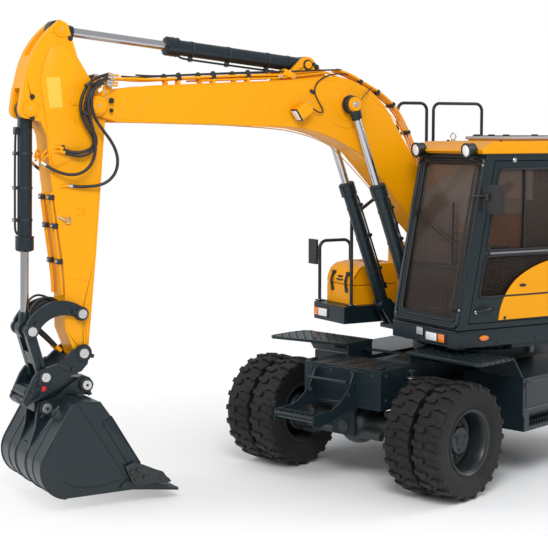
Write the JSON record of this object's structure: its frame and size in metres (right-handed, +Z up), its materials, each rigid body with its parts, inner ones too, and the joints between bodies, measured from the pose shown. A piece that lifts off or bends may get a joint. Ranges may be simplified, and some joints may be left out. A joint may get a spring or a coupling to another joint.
{
  "type": "wheeled excavator",
  "caption": "Wheeled excavator with mono boom, arm, quick coupler and ditching bucket, slewing cab and twin tyres, jointed throughout.",
  "frame": {"origin": "on the ground under the slewing axis", "axes": "+X the way the chassis drives, +Y its left side, +Z up"},
  "size_m": [6.7753, 3.7028, 4.1182],
  "materials": {
    "yellow": "gloss machine enamel",
    "dark_paint": "dark blue-grey enamel",
    "tyre_rubber": "moulded tread rubber",
    "chrome_rod": "ground and hard-chromed",
    "cast_metal": "cast, painted dark",
    "tinted_glass": "brown-grey tint",
    "black_plastic": "moulded black",
    "seat_fabric": "woven cover",
    "pipe_metal": "painted hard pipe"
  },
  "bodies": {
    "chassis": {"chassis_frame": "dark_paint", "slew_ring": "cast_metal", "front_step_box": "dark_paint", "decks": "dark_paint", "side_toolboxes": "dark_paint", "rear_beam": "dark_paint", "front_axle": "dark_paint", "rear_axle": "dark_paint", "drive_train": "dark_paint"},
    "knuckle_left": {"knuckle_left": "dark_paint"},
    "knuckle_right": {"knuckle_right": "dark_paint"},
    "wheels_front_left": {"wheels_front_left": "dark_paint", "tyres_front_left": "tyre_rubber"},
    "wheels_front_right": {"wheels_front_right": "dark_paint", "tyres_front_right": "tyre_rubber"},
    "wheels_rear_left": {"wheels_rear_left": "dark_paint", "tyres_rear_left": "tyre_rubber"},
    "wheels_rear_right": {"wheels_rear_right": "dark_paint", "tyres_rear_right": "tyre_rubber"},
    "upper": {"upper_frame": "dark_paint", "counterweight": "dark_paint", "engine_block": "cast_metal", "engine_housing": "yellow", "tank_housing": "yellow", "right_platform": "dark_paint", "tool_box": "yellow", "handrails": "dark_paint", "mirrors": "black_plastic", "cab_base": "dark_paint", "cab_shell": "dark_paint", "cab_roof": "yellow", "cab_glass": "tinted_glass", "cab_grab_rail": "dark_paint", "exhaust_stack": "dark_paint", "seat": "seat_fabric", "controls": "black_plastic", "work_lamps": "black_plastic"},
    "cab_door": {"cab_door": "dark_paint", "door_cover": "yellow", "door_glass": "tinted_glass"},
    "engine_hood": {"engine_hood": "yellow"},
    "toolbox_lid": {"toolbox_lid": "yellow"},
    "boom": {"boom": "yellow", "boom_lamp": "yellow", "boom_pipes": "pipe_metal"},
    "boom_barrels": {"boom_cylinder_barrels": "dark_paint"},
    "boom_rods": {"boom_cylinder_rods": "chrome_rod"},
    "arm": {"arm": "yellow"},
    "arm_barrel": {"arm_cylinder_barrel": "dark_paint"},
    "arm_rod": {"arm_cylinder_rod": "chrome_rod"},
    "bucket": {"quick_coupler": "dark_paint", "bucket": "dark_paint"},
    "guide_links": {"guide_links": "dark_paint"},
    "bucket_link": {"bucket_link": "dark_paint"},
    "bucket_barrel": {"bucket_cylinder_barrel": "dark_paint"},
    "bucket_rod": {"bucket_cylinder_rod": "chrome_rod"}
  },
  "joints": [
    {"name": "steer_left", "type": "hinge", "parent": "chassis", "child": "knuckle_left", "pos_m": [1.8, 0.6, 0.518], "axis": [0, 0, 1], "range_deg": [-30, 30]},
    {"name": "steer_right", "type": "hinge", "parent": "chassis", "child": "knuckle_right", "pos_m": [1.8, -0.6, 0.518], "axis": [0, 0, 1], "range_deg": [-30.1, 30.1]},
    {"name": "roll_front_left", "type": "hinge", "parent": "knuckle_left", "child": "wheels_front_left", "pos_m": [1.8, 0, 0.518], "axis": [0, 1, 0], "continuous": true},
    {"name": "roll_front_right", "type": "hinge", "parent": "knuckle_right", "child": "wheels_front_right", "pos_m": [1.8, 0, 0.518], "axis": [0, 1, 0], "continuous": true},
    {"name": "roll_rear_left", "type": "hinge", "parent": "chassis", "child": "wheels_rear_left", "pos_m": [-0.9, 0, 0.518], "axis": [0, 1, 0], "continuous": true},
    {"name": "roll_rear_right", "type": "hinge", "parent": "chassis", "child": "wheels_rear_right", "pos_m": [-0.9, 0, 0.518], "axis": [0, 1, 0], "continuous": true},
    {"name": "slew", "type": "hinge", "parent": "chassis", "child": "upper", "pos_m": [0, 0, 1.2], "axis": [0, 0, 1], "continuous": true},
    {"name": "door_swing", "type": "hinge", "parent": "upper", "child": "cab_door", "pos_m": [0.32581, 1.21273, 2.2], "axis": [0, 0, 1], "range_deg": [0, 165]},
    {"name": "hood_lift", "type": "hinge", "parent": "upper", "child": "engine_hood", "pos_m": [-0.71914, 0.21986, 2.198], "axis": [0.2924, 0.9563, 0], "range_deg": [0, 70]},
    {"name": "toolbox_lift", "type": "hinge", "parent": "upper", "child": "toolbox_lid", "pos_m": [0.16529, -0.99166, 1.623], "axis": [-0.2924, -0.9563, 0], "range_deg": [0, 80]},
    {"name": "boom_lift", "type": "hinge", "parent": "upper", "child": "boom", "pos_m": [-0.06298, -0.1376, 1.7], "axis": [-0.2924, -0.9563, 0], "range_deg": [-50, 31.5]},
    {"name": "boom_barrel_swing", "type": "hinge", "parent": "upper", "child": "boom_barrels", "pos_m": [0.74031, -0.38319, 1.45], "axis": [-0.2924, -0.9563, 0], "range_deg": [-54.74, 34.5]},
    {"name": "boom_rod_slide", "type": "slide", "parent": "boom_barrels", "child": "boom_rods", "axis": [0.3308, -0.1011, 0.9383], "range_m": [-0.6594, 0.4158]},
    {"name": "arm_swing", "type": "hinge", "parent": "boom", "child": "arm", "pos_m": [3.8499, -1.33389, 3.4032], "axis": [0.2924, 0.9563, 0], "range_deg": [-80, 16]},
    {"name": "arm_barrel_swing", "type": "hinge", "parent": "boom", "child": "arm_barrel", "pos_m": [1.82531, -0.71491, 3.80009], "axis": [0.2924, 0.9563, 0], "range_deg": [-0.14, 0.52]},
    {"name": "arm_rod_slide", "type": "slide", "parent": "arm_barrel", "child": "arm_rod", "axis": [0.9517, -0.291, 0.098], "range_m": [-0.8722, 0.1752]},
    {"name": "bucket_curl", "type": "hinge", "parent": "arm", "child": "bucket", "pos_m": [4.00507, -1.38133, 1.29443], "axis": [0.2924, 0.9563, 0], "range_deg": [-85, 75]},
    {"name": "guide_link_swing", "type": "hinge", "parent": "arm", "child": "guide_links", "pos_m": [4.0135, -1.3839, 1.63611], "axis": [0.2924, 0.9563, 0], "range_deg": [-69.32, 61.18]},
    {"name": "bucket_link_swing", "type": "hinge", "parent": "bucket", "child": "bucket_link", "pos_m": [4.33691, -1.48278, 1.11643], "axis": [0.2924, 0.9563, 0], "range_deg": [-61.55, 69.75]},
    {"name": "bucket_barrel_swing", "type": "hinge", "parent": "arm", "child": "bucket_barrel", "pos_m": [4.40842, -1.50464, 3.37291], "axis": [0.2924, 0.9563, 0], "range_deg": [-3.25, 2.87]},
    {"name": "bucket_rod_slide", "type": "slide", "parent": "bucket_barrel", "child": "bucket_rod", "axis": [0.0194, -0.0059, -0.9998], "range_m": [-0.4671, 0.4123]}
  ],
  "couplings": [
    {"joint": "steer_right", "follows": "steer_left", "ratio": 1},
    {"joint": "boom_barrel_swing", "follows": "boom_lift", "ratio": 1.0938},
    {"joint": "boom_rod_slide", "follows": "boom_lift", "m_per_rad": 0.75441},
    {"joint": "arm_barrel_swing", "follows": "arm_swing", "ratio": -0.005829},
    {"joint": "arm_rod_slide", "follows": "arm_swing", "m_per_rad": 0.62394},
    {"joint": "guide_link_swing", "follows": "bucket_curl", "ratio": 0.815},
    {"joint": "bucket_link_swing", "follows": "bucket_curl", "ratio": -0.82},
    {"joint": "bucket_barrel_swing", "follows": "bucket_curl", "ratio": 0.037628},
    {"joint": "bucket_rod_slide", "follows": "bucket_curl", "m_per_rad": 0.31419}
  ]
}
